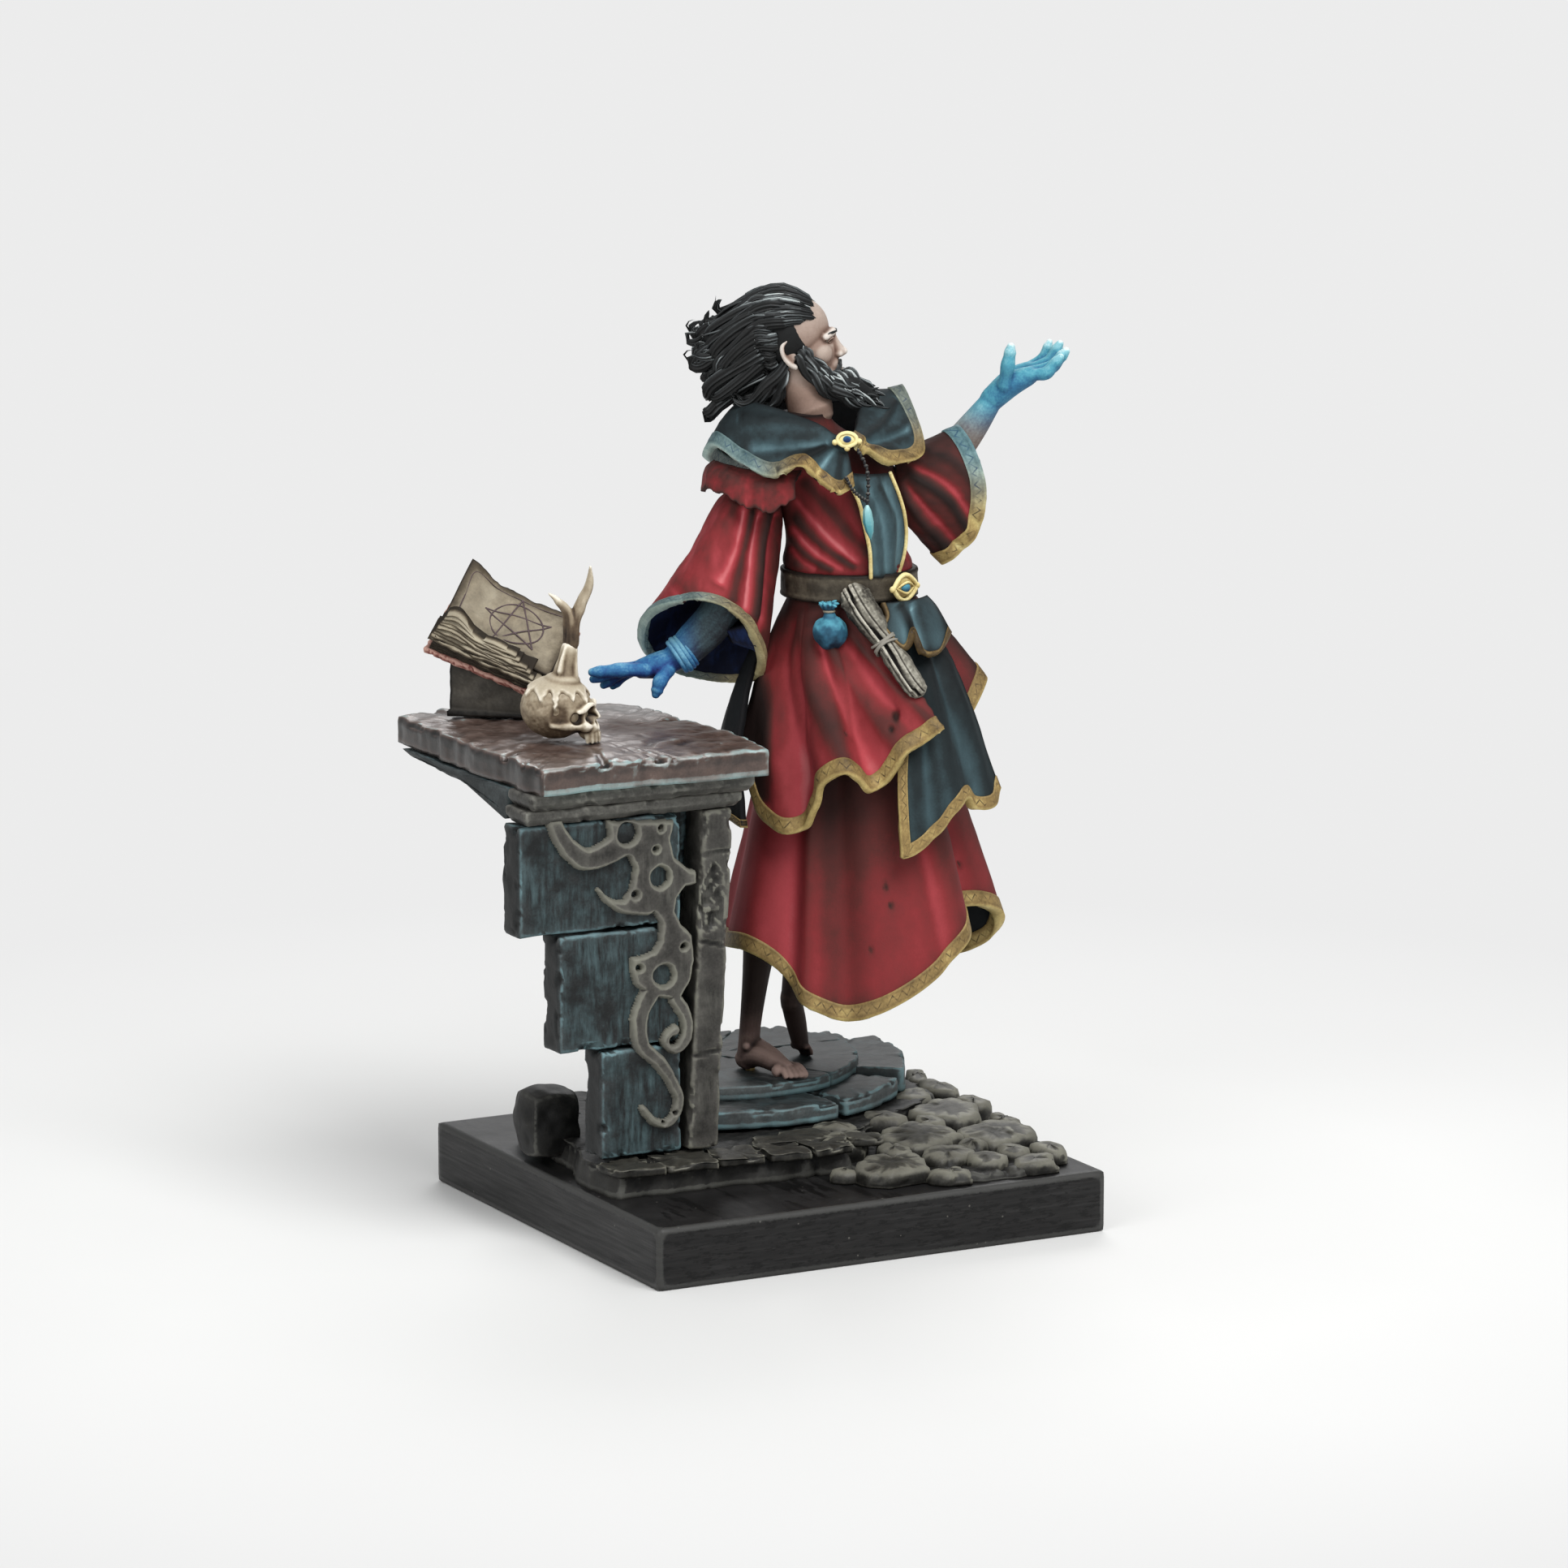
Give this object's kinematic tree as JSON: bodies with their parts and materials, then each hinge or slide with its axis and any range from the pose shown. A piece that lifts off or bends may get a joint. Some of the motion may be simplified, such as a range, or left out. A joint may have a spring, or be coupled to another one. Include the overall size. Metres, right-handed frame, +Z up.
{
  "type": "painted miniature figure",
  "caption": "Painted display miniature: a robed, bearded scholar with a raised hand on round steps beside a broken altar with book, skull and candle, on a square wooden plinth.",
  "frame": {"origin": "centre of the plinth's underside", "axes": "+Z up through the figure, -Y out of the plinth's front face, +X along the front face to the viewer's right"},
  "size_m": [0.0643, 0.05, 0.0938],
  "materials": {
    "plinth_wood": "black stained satin wood",
    "cobble_paint": "painted resin, drybrushed olive grey",
    "dark_stone_paint": "painted resin, dark slate with turquoise edges",
    "warm_stone_paint": "painted resin, weathered taupe",
    "slab_paint": "painted resin, brown with pale chipped edges",
    "red_cloth_paint": "painted resin, crimson with dark recesses",
    "teal_cloth_paint": "painted resin, dark teal with gold trim",
    "skin_paint": "painted resin, tan skin",
    "right_hand_paint": "painted resin, deep blue skin",
    "left_hand_paint": "painted resin, skin fading to cyan",
    "hair_paint": "painted resin, near black with grey strands",
    "leather_paint": "painted resin, brown leather look",
    "gold_paint": "painted resin, gold look",
    "bone_paint": "painted resin, bone and wax",
    "parchment_paint": "painted resin, parchment",
    "book_cover_paint": "painted resin, red brown",
    "lectern_paint": "painted resin, dark brown",
    "pouch_paint": "painted resin, deep blue",
    "crystal_paint": "painted resin, turquoise gloss",
    "pin_brass": "bare brass wire"
  },
  "bodies": {
    "root": {"plinth": "plinth_wood", "ground": "cobble_paint", "front_step_stone": "dark_stone_paint", "right_step_stone": "dark_stone_paint", "back_step_stone": "dark_stone_paint", "upper_step": "dark_stone_paint", "altar_bottom_course": "dark_stone_paint", "altar_middle_course": "dark_stone_paint", "altar_top_course": "dark_stone_paint", "altar_core": "dark_stone_paint", "altar_corbel": "dark_stone_paint", "large_rubble_stone": "dark_stone_paint", "small_rubble_stone": "dark_stone_paint", "altar_corner_post": "warm_stone_paint", "altar_scrollwork": "warm_stone_paint", "altar_cornice_lower": "warm_stone_paint", "altar_cornice_upper": "warm_stone_paint", "altar_top_slab": "slab_paint", "book_cover": "book_cover_paint", "book_pages": "parchment_paint", "book_turning_leaf": "parchment_paint", "book_lectern": "lectern_paint", "skull": "bone_paint", "candle": "bone_paint", "candle_flame": "bone_paint", "lower_robe": "red_cloth_paint", "over_robe": "red_cloth_paint", "torso": "red_cloth_paint", "right_sleeve": "red_cloth_paint", "left_sleeve": "red_cloth_paint", "shoulder_flounce": "red_cloth_paint", "front_apron": "teal_cloth_paint", "robe_lining": "teal_cloth_paint", "belt_flap": "teal_cloth_paint", "stole": "teal_cloth_paint", "capelet": "teal_cloth_paint", "belt": "leather_paint", "belt_buckle": "gold_paint", "brooch": "gold_paint", "pouch": "pouch_paint", "scroll": "parchment_paint", "pendant": "crystal_paint", "right_hand": "right_hand_paint", "left_hand": "left_hand_paint", "head": "skin_paint", "right_leg": "skin_paint", "left_leg": "skin_paint", "hair": "hair_paint", "beard": "hair_paint", "altar_pin": "pin_brass", "foot_pin": "pin_brass", "neck_pin": "pin_brass", "slab_pin": "pin_brass", "waist_pin": "pin_brass"}
  },
  "joints": []
}
